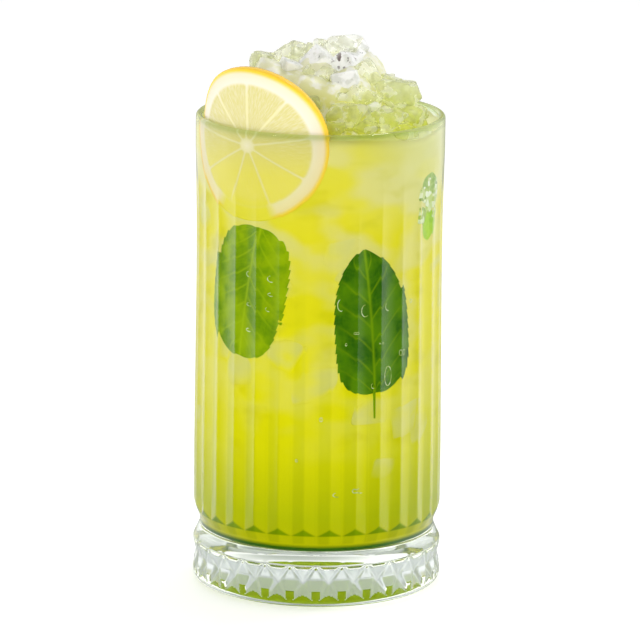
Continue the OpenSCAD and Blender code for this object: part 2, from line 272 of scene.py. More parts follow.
# %% Build the glass
GLASS_COLS = FLUTES * 18
outline = glass_outline()
r, z, zone = (outline[:, k][:, None] for k in range(3))
turn = np.radians(-90 + 360 / GLASS_COLS * np.arange(GLASS_COLS))[None, :]
phase = ((turn - FRONT) / FLUTE_TURN) % 1.0
to_ridge = 1 - np.abs(2 * phase - 1)
rise = ease(z, FADE_LOW, FADE_HIGH - FADE_LOW)
fade = 1 - rise**2 * (3 - 2 * rise)
ridge_r = body_radius(z) + (LIP_R - body_radius(z)) * rise
fluted = soft_min(r + 0 * turn, ridge_r - fade * flute_depth(to_ridge, z), 0.12 * MM)
relief = star_relief((phase - 0.5) * FLUTE_TURN * FOOT_R + 0 * z, z + 0 * turn)
cuts = np.where(zone == STARRED, np.maximum(relief, 0), 0)
radius = np.where(zone == FLUTED, fluted, r) - cuts
points = np.vstack([turned(radius, turn, z), [0, 0, PUNT_H], [0, 0, FLOOR_Z]])
glass_faces = closed_rings(len(outline), GLASS_COLS)
glass = make_piece("fluted_glass", points, glass_faces)
quads = glass_faces[0]
in_cut = np.zeros(len(glass.data.polygons), dtype=np.int32)
in_cut[:len(quads)] = cuts.ravel()[quads].min(axis=1) > 0
print("faces in the star cuts:", int(in_cut.sum()))

# %% [markdown]
# Thick glass is green where much of it lies in line, as at the lip. Shade is painted on the glass as well:
# dark green on the low ends of the flutes, where the corner runs out under the ridges and refracts the dark
# bottom of the drink, and a darker side on each flute, strongest low down, where each flute mirrors darker
# surroundings. Each of the three is kept as a number on the points.

# %% Places of the glass's tint and painted shade
spare = r - (body_radius(z) - flute_depth(to_ridge, z))
# painted shade: dark green at the low ends of the flutes, where the corner runs out under the ridges
hill_shade = np.clip(0.9 - spare / (0.16 * MM), 0, 1) * ease(z, HILL_LOW, 0.3 * MM)
hill_shade = np.where((zone == FLUTED) & (z < CORNER_TOP), hill_shade, 0)
# painted shade: the darker side of each flute, strongest low down
dark_side = ease(phase, 0.02, 0.06) * np.clip((0.52 - phase) / 0.03, 0, 1) + ease(phase, 0.93, 0.06)
flute_side_shade = np.where(zone == FLUTED, (1 - ease(z, 26 * MM, 104 * MM)) ** 1.3, 0) * np.clip(dark_side, 0, 1)
rim_tint = ease(z, RIM_Z - 2.4 * MM, 1.6 * MM) * np.where(zone == INSIDE, 0.6, 1) + 0 * turn
for name, places in (("hill_shade", hill_shade), ("flute_side_shade", flute_side_shade), ("rim", rim_tint)):
    store(glass, name, places)
    print(name, "covers", round(100 * float((places > 0).mean())), "percent of the points")

# %% [markdown]
# ## The drink
# The drink fills the well up to its level and reaches a hair into the wall. That way light passes straight
# from glass to liquid, with no thin film of air between them that would mirror like silver.

# %% Build the drink
INTO_WALL = 0.04 * MM
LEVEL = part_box("drink")[1][2]
DRINK_COLS = 240


def slush_level(x, y):
    """Height of the slushy surface: high against the wall, lowest at the right, with soft waves."""
    x, y = x / MM, y / MM
    lift = 4.0 - 1.4 * np.exp(-((x - 26) ** 2 + (y + 20) ** 2) / 240)
    waves = 0.4 * np.sin(x * 0.31 + 1.7) * np.cos(y * 0.27) + 0.25 * np.sin(x * 0.62 - y * 0.5)
    return LEVEL + (lift + waves) * MM


def drink_surface(cols):
    """Rings of the well, a hair too wide, then the slushy surface from the wall to the middle."""
    turn = 2 * np.pi * np.arange(cols)[None, :] / cols
    corner = arc_points((WELL_R - FLOOR_ROUND, WELL_LOW), FLOOR_ROUND + INTO_WALL, -90, 0, 12)
    low = np.vstack([[WELL_R * 0.45, FLOOR_Z - INTO_WALL], corner[:-1]])
    wall_r = inner_radius(LEVEL)
    edge_z = slush_level(wall_r * np.cos(turn), wall_r * np.sin(turn))
    wall_z = WELL_LOW + (edge_z - WELL_LOW) * np.linspace(0, 1, 44)[:, None]
    top_r = wall_r * np.array([0.995, 0.985, 0.95, 0.9, 0.82, 0.7, 0.5, 0.25])[:, None] + 0 * turn
    top_z = slush_level(top_r * np.cos(turn), top_r * np.sin(turn)) - 0.35 * MM
    radius = np.concatenate([low[:, :1] + 0 * turn, inner_radius(wall_z) + INTO_WALL, top_r])
    height = np.concatenate([low[:, 1:] + 0 * turn, wall_z, top_z])
    return turned(radius, turn, height), len(radius)


points, rows = drink_surface(DRINK_COLS)
points = np.vstack([points, [0, 0, FLOOR_Z - INTO_WALL], [0, 0, LEVEL + 2 * MM]])
drink = make_piece("lime_drink", points, closed_rings(rows, DRINK_COLS))

# %% [markdown]
# ## Crushed ice
# A chunk of crushed ice is a block broken along a dozen rough planes, with edges rounded by melting. Its
# radius in a direction d is found from all the planes at once: each plane alone would give height / (normal
# . d), and a power mean of these is close to the smallest of them, with the corners rounded.


# %% Chunks of ice
def ball_grid(level):
    """Points and triangles of an icosahedron on a unit ball, each triangle split into four for each level."""
    g = (1 + 5**0.5) / 2
    p = np.array([[-1, g, 0], [1, g, 0], [-1, -g, 0], [1, -g, 0], [0, -1, g], [0, 1, g],
                  [0, -1, -g], [0, 1, -g], [g, 0, -1], [g, 0, 1], [-g, 0, -1], [-g, 0, 1]])
    t = np.array([[0, 11, 5], [0, 5, 1], [0, 1, 7], [0, 7, 10], [0, 10, 11], [1, 5, 9], [5, 11, 4],
                  [11, 10, 2], [10, 7, 6], [7, 1, 8], [3, 9, 4], [3, 4, 2], [3, 2, 6], [3, 6, 8],
                  [3, 8, 9], [4, 9, 5], [2, 4, 11], [6, 2, 10], [8, 6, 7], [9, 8, 1]])
    for _ in range(level):
        edges = np.sort(np.vstack([t[:, [0, 1]], t[:, [1, 2]], t[:, [2, 0]]]), axis=1)
        unique, where = np.unique(edges, axis=0, return_inverse=True)
        mids = len(p) + where.reshape(3, -1)
        p = np.vstack([p, (p[unique[:, 0]] + p[unique[:, 1]]) / 2])
        a, b, c = t.T
        ab, bc, ca = mids
        t = np.vstack([np.stack(q, axis=-1) for q in ((a, ab, ca), (b, bc, ab), (c, ca, bc), (ab, bc, ca))])
    return p / np.linalg.norm(p, axis=1, keepdims=True), t


def chunk_shape(ball, rng, planes=7, sharp=44):
    """A unit chunk: radius = (sum of (normal . d / height) ** sharp) ** (-1 / sharp) over its planes."""
    normals = rng.normal(size=(planes, 3))
    normals /= np.linalg.norm(normals, axis=1, keepdims=True)
    normals = np.vstack([normals, np.eye(3), -np.eye(3)])
    heights = np.concatenate([rng.uniform(0.68, 1.0, planes), rng.uniform(0.72, 0.95, 6)])
    pull = np.clip(ball @ normals.T / heights, 0, None)
    radius = (pull**sharp).sum(axis=1) ** (-1 / sharp)
    return ball * radius[:, None]


def random_turn(rng):
    """A random rotation matrix, from a random unit quaternion."""
    w, x, y, z = (q := rng.normal(size=4)) / np.linalg.norm(q)
    return np.array([[1 - 2 * (y * y + z * z), 2 * (x * y - z * w), 2 * (x * z + y * w)],
                     [2 * (x * y + z * w), 1 - 2 * (x * x + z * z), 2 * (y * z - x * w)],
                     [2 * (x * z - y * w), 2 * (y * z + x * w), 1 - 2 * (x * x + y * y)]])


def ice_mesh(name, centres, sizes, rng, level, keep_in):
    """All chunks of one kind as one mesh, each with its own shape and turn. Sizes are half widths."""
    ball, tris = ball_grid(level)
    clouds = []
    for centre, size in zip(centres, sizes):
        shape = chunk_shape(ball, rng) @ random_turn(rng).T
        low, high = shape.min(axis=0), shape.max(axis=0)
        clouds.append((shape - (low + high) / 2) / (high - low) * 2 * size + centre)
    return make_piece(name, keep_in(np.vstack(clouds)), [repeated(tris, len(clouds), len(ball))])


# %% [markdown]
# The chunks at the front of the heap are placed one by one, from the peak down to the rim. Behind them
# chunks are set along the skin of the CAD model's heap, sunk in by most of their size, and no two centres
# come too close. A smaller core of packed ice closes the gaps behind them.

# %% Tables for the heap
HEAP_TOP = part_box("ice_heap")[1][2]
# x, height over the drink's level, distance in front of the axis and half widths of each chunk, in mm
CLEAR_FRONT = np.array([
    [6.8, 27.2, -0.5, 6.4, 5.4, 4.2], [-8.6, 24.6, -1.0, 6.6, 5.4, 4.2], [-18.4, 21.8, -1.5, 4.4, 4.6, 3.4],
    [13.6, 19.2, 8.5, 5.4, 4.6, 5.6], [21.2, 16.4, 5.0, 4.6, 4.0, 3.4], [24.0, 13.8, 10.5, 7.8, 5.6, 4.9],
    [-0.6, 18.6, 10.5, 6.0, 4.6, 4.6], [12.6, 13.9, 17.0, 7.2, 5.2, 4.8], [3.6, 13.8, 16.5, 5.6, 4.4, 4.2],
    [19.8, 8.4, 22.5, 7.6, 5.2, 4.5], [27.6, 8.6, 14.0, 6.4, 5.6, 4.1], [8.2, 9.0, 24.0, 6.8, 4.8, 4.5],
    [14.4, 6.4, 28.2, 4.6, 3.6, 2.8], [2.4, 6.0, 30.0, 5.4, 3.6, 3.0], [-4.4, 11.6, 20.5, 5.0, 4.0, 3.8],
    [-14.0, 17.6, 6.5, 5.0, 4.6, 4.0], [-22.4, 15.0, 1.5, 5.0, 4.6, 4.0], [29.6, 4.8, 12.0, 4.6, 4.4, 2.6],
    [25.2, 4.4, 22.6, 4.6, 3.6, 2.4], [-11.0, 12.6, 14.5, 5.2, 4.2, 4.0]])
FROSTED_FRONT = np.array([
    [-0.8, 23.8, 6.6, 6.4, 4.6, 5.2], [8.2, 23.4, 8.0, 5.0, 3.8, 3.7], [7.4, 18.0, 14.2, 5.0, 3.8, 4.7],
    [-9.6, 21.4, 6.6, 4.8, 3.8, 3.4], [16.4, 11.4, 19.8, 2.6, 2.2, 1.9], [12.0, 25.4, 3.4, 2.2, 2.0, 1.7]])

# the heap's ridge line: x from the axis and height over the level, in mm
RIDGE = np.array([[-26, 19.0], [-22.5, 22.5], [-19.4, 25.3], [-8.7, 28], [4, 30.8], [10.6, 31], [12, 28],
                  [13, 23], [16, 20], [24, 17.5], [26, 15], [28.5, 12.5], [32, 9.8], [37, 6]])


# %% Helpers for the heap
def welded(node):
    """The points of a CAD node's mesh without doubles, and its triangles on those points."""
    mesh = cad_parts[node].data
    flat = np.empty(len(mesh.vertices) * 3, dtype=np.float32)
    mesh.vertices.foreach_get("co", flat)
    points, where = np.unique(np.round(flat.reshape(-1, 3).astype(float), 6), axis=0, return_inverse=True)
    corners = np.empty(len(mesh.loops), dtype=np.int32)
    mesh.loops.foreach_get("vertex_index", corners)
    return points, where.ravel()[corners].reshape(-1, 3)


def spread(cloud, count, gap, rng, taken):
    """Up to count points of the cloud in random order, none nearer to another than the gap."""
    chosen = [np.array(p) for p in taken]
    start = len(chosen)
    for p in cloud[rng.permutation(len(cloud))]:
        if len(chosen) - start >= count:
            break
        if min(np.linalg.norm(p - q) for q in chosen) > gap:
            chosen.append(p)
    return np.array(chosen[start:])


def by_hand(table):
    """Centres and half widths in metres from a table of chunks."""
    centres = np.stack([table[:, 0], -table[:, 2], table[:, 1]], axis=-1) * MM
    return centres + [0, 0, LEVEL], table[:, 3:] * MM


def inside_rim(cloud):
    """Points pulled in to the well's radius below the rim and under the heap's highest point."""
    out = cloud.copy()
    radius = np.linalg.norm(out[:, :2], axis=1)
    wall = inner_radius(np.minimum(out[:, 2], RIM_Z)) - 0.3 * MM
    limit = wall + np.clip(out[:, 2] - RIM_Z, 0, None) * 0.8
    out[:, :2] *= np.minimum(1, limit / np.maximum(radius, 1e-9))[:, None]
    out[:, 2] = np.clip(out[:, 2], LEVEL - 6 * MM, HEAP_TOP - 0.1 * MM)
    return out


def sink(cloud, depth):
    """Points moved towards the heap's foot by a depth."""
    way = cloud - [0, 0, LEVEL - 6 * MM]
    return cloud - way / np.linalg.norm(way, axis=1, keepdims=True) * depth


def under_ridge(centres, sizes):
    """Centres lowered until no chunk stands above the ridge line, which falls away towards the back."""
    ridge = np.interp(centres[:, 0] / MM, RIDGE[:, 0], RIDGE[:, 1]) * MM + LEVEL
    out = centres.copy()
    out[:, 2] = np.minimum(out[:, 2], ridge - sizes[:, 2] - 0.23 * np.clip(out[:, 1], 0, None))
    return out


# %% Heap the ice
heap_points, heap_tris = welded("ice_heap")
back_skin = heap_points[(heap_points[:, 2] > LEVEL + 1 * MM) & (heap_points[:, 1] > -1 * MM)]
rng = np.random.default_rng(7)
clear_hand, clear_hand_size = by_hand(CLEAR_FRONT)
frost_hand, frost_hand_size = by_hand(FROSTED_FRONT)
hand = np.vstack([clear_hand, frost_hand])
big = spread(back_skin, 40, 5.9 * MM, rng, hand)
small = spread(back_skin, 20, 4.4 * MM, rng, np.vstack([hand, big]))
big_size = rng.uniform(3.8, 6.0, (len(big), 3)) * MM
small_size = rng.uniform(1.8, 3.0, (len(small), 3)) * MM
frosted = rng.uniform(size=len(big)) < 0.25
big = under_ridge(sink(big, 4.6 * MM), big_size)
small = under_ridge(sink(small, 3.4 * MM), small_size)
clear_ice = ice_mesh("clear_ice", np.vstack([clear_hand, big[~frosted], small]),
                     np.vstack([clear_hand_size, big_size[~frosted], small_size]), rng, 3, inside_rim)
frosted_ice = ice_mesh("frosted_ice", np.vstack([frost_hand, big[frosted]]),
                       np.vstack([frost_hand_size, big_size[frosted]]), rng, 4, inside_rim)

# %% A core behind the ice
CORE_WIDTH, CORE_HEIGHT = 0.9, 0.88
core_points = heap_points * [CORE_WIDTH, CORE_WIDTH, CORE_HEIGHT]
core_points[:, 2] += (1 - CORE_HEIGHT) * LEVEL - 1 * MM
ice_core = make_piece("ice_core", core_points, [heap_tris])

# %% [markdown]
# ## Ice in the drink
# The drink is packed with ice right down to the painted shade at its floor. Where a chunk touches the wall it
# shows as a paler patch. Each chunk is pressed flat against the wall, and how far it was pressed is kept as a
# number for the material. The patch is palest where the chunk touches fully and fades out at its edge, as ice
# does in a cloudy drink.

# %% Sink ice against the wall
SUNK_COUNT = 36
PRESS = 0.08 * MM
GOLDEN_TURN = 0.618
REACH = 0.45
rng = np.random.default_rng(21)
ball, tris = ball_grid(4)
sunk_z = rng.uniform(34, 143, SUNK_COUNT) * MM
sunk_turn = 2 * np.pi * ((np.arange(SUNK_COUNT) * GOLDEN_TURN) % 1.0)
sunk_size = rng.uniform([5, 4, 3.5], [9, 6.5, 7.5], (SUNK_COUNT, 3)) * MM
clouds, touches = [], []
for mid_z, mid_turn, size in zip(sunk_z, sunk_turn, sunk_size):
    shape = chunk_shape(ball, rng, 9, 12) @ random_turn(rng).T
    across, out, up = (shape * size).T
    reach = inner_radius(mid_z) - REACH * size[1] + out
    height = mid_z + up + across * 0.25
    wall = inner_radius(height) + PRESS
    touches.append(np.clip((reach - wall) / (REACH * size[1]), -1, 1))
    pressed = np.minimum(reach, wall - np.clip(wall - reach, 0, 0.05 * MM))
    clouds.append(turned(pressed, mid_turn + across / inner_radius(mid_z), height))
sunk_ice = make_piece("sunk_ice", np.vstack(clouds), [repeated(tris[:, ::-1], SUNK_COUNT, len(ball))])
store(sunk_ice, "touch", touches)

# %% [markdown]
# ## Lemon slice
# The slice is a disc bent round the wall. A point of it has a distance r from the core and an angle a on
# the disc. The distance along the wall turns into an angle about the glass, and the height stays a height.
# The flesh lies a little lower than the skins between the segments, and the peel has fine pores.

# %% Sizes of the slice
slice_low, slice_high = (corner[2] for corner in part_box("lemon_slice"))
SLICE_MID_Z = (slice_low + slice_high) / 2
SLICE_R = (slice_high - slice_low) / 2
INTO_SLICE = 0.2 * MM
BEND_R = 33.2 * MM
SLICE_T = 4 * MM
SLICE_TURN = FRONT - math.radians(37)
SLICE_COLS = 360
SEGMENTS = 9
PITH_R = 19.6 * MM
PEEL_R = SLICE_R - 1.35 * MM
PEEL_ROUND = 0.7 * MM
CORE_R = 2.0 * MM


# %% Build the slice
def segment_mask(r, a):
    """1 inside a segment's flesh and 0 on the skins, the core and the pith, with soft borders."""
    step = 2 * np.pi / SEGMENTS
    off = np.abs((a - 0.2) % step - step / 2)
    to_skin = (step / 2 - off) * r
    sides = np.clip((to_skin - 0.05 * MM) / (0.5 * MM), 0, 1)
    outer = np.clip((PITH_R - r) / (0.9 * MM), 0, 1)
    inner = np.clip((r - CORE_R) / (0.8 * MM), 0, 1)
    round_end = np.clip((PITH_R - 0.4 * MM - r + np.minimum(to_skin, 1.6 * MM) * 0.9) / (1.2 * MM), 0, 1)
    return sides * outer * inner * round_end


def bend(r, a, inwards):
    """A point at distance r and angle a on the slice, some way inwards from the wall of the glass."""
    z = SLICE_MID_Z + r * np.sin(a)
    wall = inner_radius(np.minimum(z, RIM_Z)) + INTO_SLICE
    return turned(wall - inwards, SLICE_TURN + r * np.cos(a) / BEND_R, z)


def slice_surface(cols):
    """Outer face from the centre to the rim, over the rounded peel and back along the inner face."""
    flesh_r = np.linspace(0.6 * MM, PITH_R + 0.6 * MM, 46)
    face_r = np.concatenate([flesh_r, np.linspace(PITH_R + 1.1 * MM, SLICE_R - PEEL_ROUND, 8)])
    edge = np.radians(np.array([60, 35, 10, -10, -35, -60]))
    edge_r = SLICE_R - PEEL_ROUND + PEEL_ROUND * np.cos(edge)
    r = np.concatenate([face_r, edge_r, face_r[::-1]])[:, None]
    out = np.concatenate([np.ones(len(face_r)), np.sin(edge), -np.ones(len(face_r))])[:, None]
    a = (2 * np.pi * np.arange(cols) / cols)[None, :]
    mask = segment_mask(r + 0 * a, a + 0 * r)
    sacs = np.sin(a * 210 + 3 * np.sin(r / MM * 1.9 + a * 9)) * np.sin(r / MM * 2.6 + 2 * np.sin(a * 31))
    depth = mask * (0.35 * MM - 0.06 * MM * sacs) * np.where(out > 0, 0.08, 1)
    pores = np.where(r > PEEL_R, 0.05 * MM * np.sin(a * 130 + 2 * np.sin(a * 47)), 0)
    half = SLICE_T / 2
    points = bend((r - pores) + 0 * a, a + 0 * r, half - out * (half - depth))
    return points, (r + 0 * a).ravel(), (a + 0 * r).ravel(), mask.ravel(), len(r)


points, slice_r, slice_a, slice_mask, rows = slice_surface(SLICE_COLS)
points = np.vstack([points, bend(0.0, 0.0, 0.0), bend(0.0, 0.0, SLICE_T)])
lemon = make_piece("lemon_slice_bent", points, closed_rings(rows, SLICE_COLS, flip=True))
at_foot = np.clip((0.52 - np.abs(slice_a - math.radians(266))) / 0.16, 0, 1)
store(lemon, "slice_radius", slice_r / SLICE_R)
store(lemon, "slice_angle", slice_a)
store(lemon, "flesh", slice_mask)
store(lemon, "veiled", at_foot * ease(slice_r / SLICE_R, 0.66, 0.16))

# %% [markdown]
# ## Mint leaves
# A mint leaf is an oval with saw teeth, a midrib and side veins that curve towards the tip. Between the
# veins the blade puffs out. The leaves here are wrapped on the inner wall, so the glass flattens their
# outer side.


# %% Shape of a leaf
def leaf_half_width(t, width, widest, tip):
    """Half width at fraction t of the leaf's length: a blunt oval, widest at one place."""
    t = np.clip(t, 0, 1)
    low = 1 - np.clip((widest - t) / widest, 0, 1) ** 3.0
    high = 1 - np.clip((t - widest) / (1 - widest), 0, 1) ** 3.0
    return width / 2 * np.where(t < widest, low ** 0.42, high ** tip)


def vein_field(t, s, length, width, pairs, widest, tip):
    """Nearness to the veins: 1 on a vein and 0 away. t runs along the leaf and s across it from -1 to 1."""
    mid = np.exp(-((s * leaf_half_width(t, width, widest, tip)) / (0.45 * MM)) ** 2)
    climb = t - 0.30 * np.abs(s) ** 0.85 * (1 - 0.35 * t)
    wave = np.abs(((climb * pairs + np.where(s > 0, 0.0, 0.35)) % 1.0) - 0.5)
    side = np.exp(-((0.5 - wave) / pairs * length / (0.38 * MM)) ** 2) * np.clip(1.25 - np.abs(s), 0, 1)
    net = np.sin(climb * pairs * 6 * np.pi + 3 * np.sin(9 * s)) * np.sin(s * 22 + 4 * np.sin(t * 40))
    return np.maximum(mid, side * 0.8), 0.5 + 0.5 * net


def lay_on_wall(across, along, turn, lean, z_mid):
    """Angle, height and wall radius of places on a leaf that leans about its middle against the wall."""
    lean = math.radians(lean)
    arc = across * math.cos(lean) + along * math.sin(lean)
    up = z_mid + along * math.cos(lean) - across * math.sin(lean)
    wall = inner_radius(up)
    return FRONT + math.radians(turn) + arc / wall, up, wall


def leaf_faces(rows, cols):
    """Quads of the outer side, the inner side and the narrow band that joins their edges."""
    i = np.arange(rows - 1)[:, None] * cols
    j = np.arange(cols - 1)[None, :]
    face = np.stack([i + j, i + j + 1, i + cols + j + 1, i + cols + j], axis=-1).reshape(-1, 4)
    ring = np.concatenate([np.arange(cols), np.arange(1, rows) * cols + cols - 1,
                           (rows - 1) * cols + np.arange(cols - 2, -1, -1),
                           np.arange(rows - 2, 0, -1) * cols])
    after = np.roll(ring, -1)
    inner = rows * cols
    band = np.stack([after, ring, ring + inner, after + inner], axis=-1)
    return [face, face[:, ::-1] + inner, band]


def stalk_tube(length, stalk, curl, place, sides=10, steps=12):
    """A thin tube from just inside the leaf's foot to the end of its stalk, tapering as it goes."""
    inside = 2.5 * MM
    f = np.linspace(0, 1, steps)[:, None]
    b = (2 * np.pi * np.arange(sides) / sides)[None, :]
    thick = (0.62 - 0.2 * f) * MM
    across = thick * np.cos(b) + curl * 0.25 * MM * (1 + f)
    along = inside - 0.5 * length - f * (stalk + inside)
    angle, up, wall = lay_on_wall(across, along, *place)
    return with_ends(turned(wall + 0.5 * thick * np.sin(b), angle, up), sides), steps, sides


# %% Build the leaves
def build_leaf(name, place, length, width, stalk, pairs, curl, widest=0.38, left_lobe=1.0, tip=0.8):
    """A leaf as a thin closed shell: rows along its length, columns across it, on both sides.

    The place is the turn from the front and the lean in degrees, and the height of the leaf's middle.
    """
    rows, cols = 150, 61
    t = np.linspace(0.004, 0.996, rows)[:, None]
    s = np.linspace(-1, 1, cols)[None, :]
    teeth = 0.7 * MM * (1 - ((t * 15 + 0.2) % 1.0)) * np.clip(t * 8, 0, 1) * np.clip((1 - t) * 8, 0, 1)
    half = leaf_half_width(t, width, widest, tip) * np.where(s < 0, left_lobe, 1.0) + teeth * np.abs(s) ** 6
    along = (t - 0.5) * length - teeth * 0.5 * np.abs(s) ** 6
    across = half * s + curl * (t - 0.5) ** 2 * MM
    veins, net = vein_field(t, s, length, width, pairs, widest, tip)
    angle, up, wall = lay_on_wall(across, along, *place)
    puff = (1 - veins) * (0.10 + 0.05 * net) * MM
    outer = turned(wall + 0.15 * MM - veins * 0.02 * MM, angle, up)
    inner = turned(wall - 0.45 * MM - veins * 0.15 * MM + puff, angle, up)
    cloud, faces, vein_all = np.vstack([outer, inner]), leaf_faces(rows, cols), np.tile(veins.ravel(), 2)
    if stalk:
        tube, steps, sides = stalk_tube(length, stalk, curl, place)
        faces += closed_rings(steps, sides, len(cloud))
        cloud = np.vstack([cloud, tube])
        vein_all = np.concatenate([vein_all, np.ones(len(tube))])
    leaf = make_piece(name, cloud, faces)
    store(leaf, "vein", vein_all)
    store(leaf, "net", np.tile(net.ravel(), 2))
    return leaf


left_mid = sum(corner[2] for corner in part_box("mint_leaf_left")) / 2
right_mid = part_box("mint_leaf_right")[1][2] - 23.4 * MM
left_leaf = build_leaf("mint_left", (-38, 191, left_mid), 43 * MM, 28 * MM, 0, 7, -3, 0.5, 0.9, 0.42)
right_leaf = build_leaf("mint_right", (27.4, -6, right_mid), 47 * MM, 26 * MM, 8 * MM, 6, -3, 0.35, 0.93)
scrap_top = build_leaf("mint_scrap_top", (66, 14, 131.4 * MM), 9 * MM, 9 * MM, 0, 4, 0)
scrap_low = build_leaf("mint_scrap_low", (67, 172, 118.8 * MM), 9.5 * MM, 8 * MM, 0, 4, 3, 0.45)

# %% [markdown]
# ## A chip of ice and small bubbles
# At the right a shard of ice is caught against the wall with two scraps of mint. Small bubbles sit on the
# leaves, each seen as a thin bright ring, and the rings and a few glints are painted highlights: a ring is a
# thin pale tube carried round an oval on the wall.

# %% Wedge the chip
# turn from the front in degrees, height and half widths of each lump of the shard, in mm
CHIP = np.array([[61, 129.0, 3.2, 3.2, 3.4], [67, 126.2, 4.0, 3.2, 4.0], [61, 122.8, 3.0, 2.8, 3.2],
                 [73, 129.4, 3.2, 2.8, 4.0], [73, 122.0, 2.8, 2.6, 3.6], [65, 132.4, 2.0, 2.6, 2.2]])
rng = np.random.default_rng(5)
ball, tris = ball_grid(3)
clouds = []
for turn_deg, z_mm, *half_widths in CHIP:
    across, out, up = (chunk_shape(ball, rng, 10, 40) @ random_turn(rng).T * half_widths * MM).T
    height = z_mm * MM + up
    wall = inner_radius(height)
    pressed = np.minimum(wall - 1.4 * MM + out, wall + 0.28 * MM + 0.1 * out)
    clouds.append(turned(pressed, FRONT + math.radians(turn_deg) + across / wall, height))
wall_chip = make_piece("wall_chip", np.vstack(clouds), [repeated(tris[:, ::-1], len(CHIP), len(ball))])

# %% Set the bubbles
RING_ROWS, RING_SIDES = 40, 8
# turn in degrees, height, half width and half height of a bubble's painted highlight ring or a glint, and how
# much of its ring shows
BUBBLE_HIGHLIGHTS = np.array([
    [23.5, 95.0, 1.5, 1.9, 0.62], [36.5, 95.6, 1.3, 1.3, 0.45], [11.0, 97.2, 1.3, 1.9, 0.5],
    [36.9, 73.2, 1.5, 3.1, 1.0], [29.5, 70.6, 1.0, 0.9, 0.45], [46.0, 80.0, 0.6, 0.9, 1.0],
    [-36.0, 95.8, 1.3, 0.5, 0.6], [-36.0, 105.5, 1.4, 0.9, 0.5], [-36.4, 87.6, 1.2, 0.5, 0.6],
    [-24.0, 104.8, 1.4, 1.0, 0.55], [-24.0, 99.8, 1.2, 0.5, 0.6], [-25.0, 95.0, 1.5, 0.7, 0.4],
    [19.0, 88.0, 0.35, 0.35, 1.0], [33.0, 84.0, 0.3, 0.3, 1.0], [14.0, 84.5, 0.3, 0.4, 1.0],
    [2.0, 60.5, 0.5, 0.6, 1.0], [-10.0, 47.0, 0.4, 0.4, 1.0], [10.0, 36.0, 1.6, 0.7, 0.5],
    [22.0, 37.0, 1.8, 0.8, 0.5], [52.0, 96.0, 0.7, 0.5, 1.0], [150.0, 90.0, 1.2, 1.5, 0.7],
    [200.0, 110.0, 1.0, 1.2, 0.6], [-120.0, 70.0, 1.1, 1.0, 0.7], [95.0, 60.0, 0.9, 1.1, 1.0]])


def ring_on_wall(turn_deg, z_mm, half_w, half_h, share):
    """A tube that follows the oval (cos u, sin u) on the wall and tapers to points at both ends."""
    run = np.linspace(-1, 1, RING_ROWS)[:, None]
    u = np.radians(200) + np.pi * share * run
    v = 2 * np.pi * np.arange(RING_SIDES)[None, :] / RING_SIDES
    tube = (0.10 + 0.03 * half_w) * np.clip((1 - np.abs(run)) * 6, 0.15, 1) * MM
    z = z_mm * MM + (half_h * MM + tube * np.cos(v)) * np.sin(u)
    w = inner_radius(z) + 0.26 * MM + 0.6 * tube * np.sin(v)
    angle = FRONT + math.radians(turn_deg) + (half_w * MM + tube * np.cos(v)) * np.cos(u) / w
    return with_ends(turned(w, angle, z), RING_SIDES)


rings = [ring_on_wall(*row) for row in BUBBLE_HIGHLIGHTS]
bubble_highlights = make_piece("wall_bubble_highlights", np.vstack(rings), [
    repeated(faces, len(rings), len(rings[0])) for faces in closed_rings(RING_ROWS, RING_SIDES, flip=True)])

# %% [markdown]
# ## Materials
# A finish is a tree of nodes that ends in a Principled shader. These helpers keep the trees short to write:
# each adds one kind of node and gives back its output, and takes either a socket to link or a constant to
# set.


# %% Material helpers
def feed(tree, socket, value):
    """Links a socket to another one, or sets it to a constant."""
    if isinstance(value, bpy.types.NodeSocket):
        tree.links.new(value, socket)
    else:
        socket.default_value = value


def add(tree, kind, inputs=(), **properties):
    """A new node. Inputs go by name or number to a socket or a constant, and properties are set by name."""
    made = tree.nodes.new("ShaderNode" + kind)
    for name, value in properties.items():
        setattr(made, name, value)
    for name, value in dict(inputs).items():
        feed(tree, made.inputs[name], value)
    return made


def new_material(piece, name, **constants):
    """A material on a piece, with the constants set on its shader. Gives its tree and the shader's inputs."""
    mat = bpy.data.materials.new(name)
    mat.use_nodes = True
    tree = mat.node_tree
    tree.nodes.clear()
    shader = add(tree, "BsdfPrincipled", {key.replace("_", " "): value for key, value in constants.items()})
    add(tree, "OutputMaterial", {"Surface": shader.outputs["BSDF"]})
    piece.data.materials.append(mat)
    return tree, shader.inputs


def coordinates(tree):
    """The piece's own coordinates."""
    return add(tree, "TexCoord").outputs["Object"]


def attribute(tree, name):
    """A number kept on the points of the piece."""
    return add(tree, "Attribute", attribute_name=name).outputs["Fac"]


def linear(r, g, b):
    """A colour given as it looks on screen, in numbers to 255, as the light values that shaders use."""
    c = np.array([r, g, b]) / 255
    c = np.where(c <= 0.04045, c / 12.92, ((c + 0.055) / 1.055) ** 2.4)
    return (*c.tolist(), 1.0)


def ramp(tree, source, stops, colour_space=linear):
    """A colour ramp with (place, colour) stops, fed by a socket. Its colours are as they look on screen."""
    made = add(tree, "ValToRGB", {"Fac": source})
    while len(made.color_ramp.elements) < len(stops):
        made.color_ramp.elements.new(0.5)
    for element, (place, colour) in zip(made.color_ramp.elements, stops):
        element.position = place
        element.color = colour_space(*colour)
    return made.outputs["Color"]


def map_range(tree, value, low, high, to_low=0.0, to_high=1.0, kind="LINEAR"):
    """A number carried from the range low to high onto another range, and held at its ends."""
    return add(tree, "MapRange", {"Value": value, "From Min": low, "From Max": high, "To Min": to_low,
                                  "To Max": to_high}, interpolation_type=kind).outputs["Result"]


def axis_of(tree, vector, axis):
    """One of the three numbers of a vector."""
    return add(tree, "SeparateXYZ", {"Vector": vector}).outputs[axis]


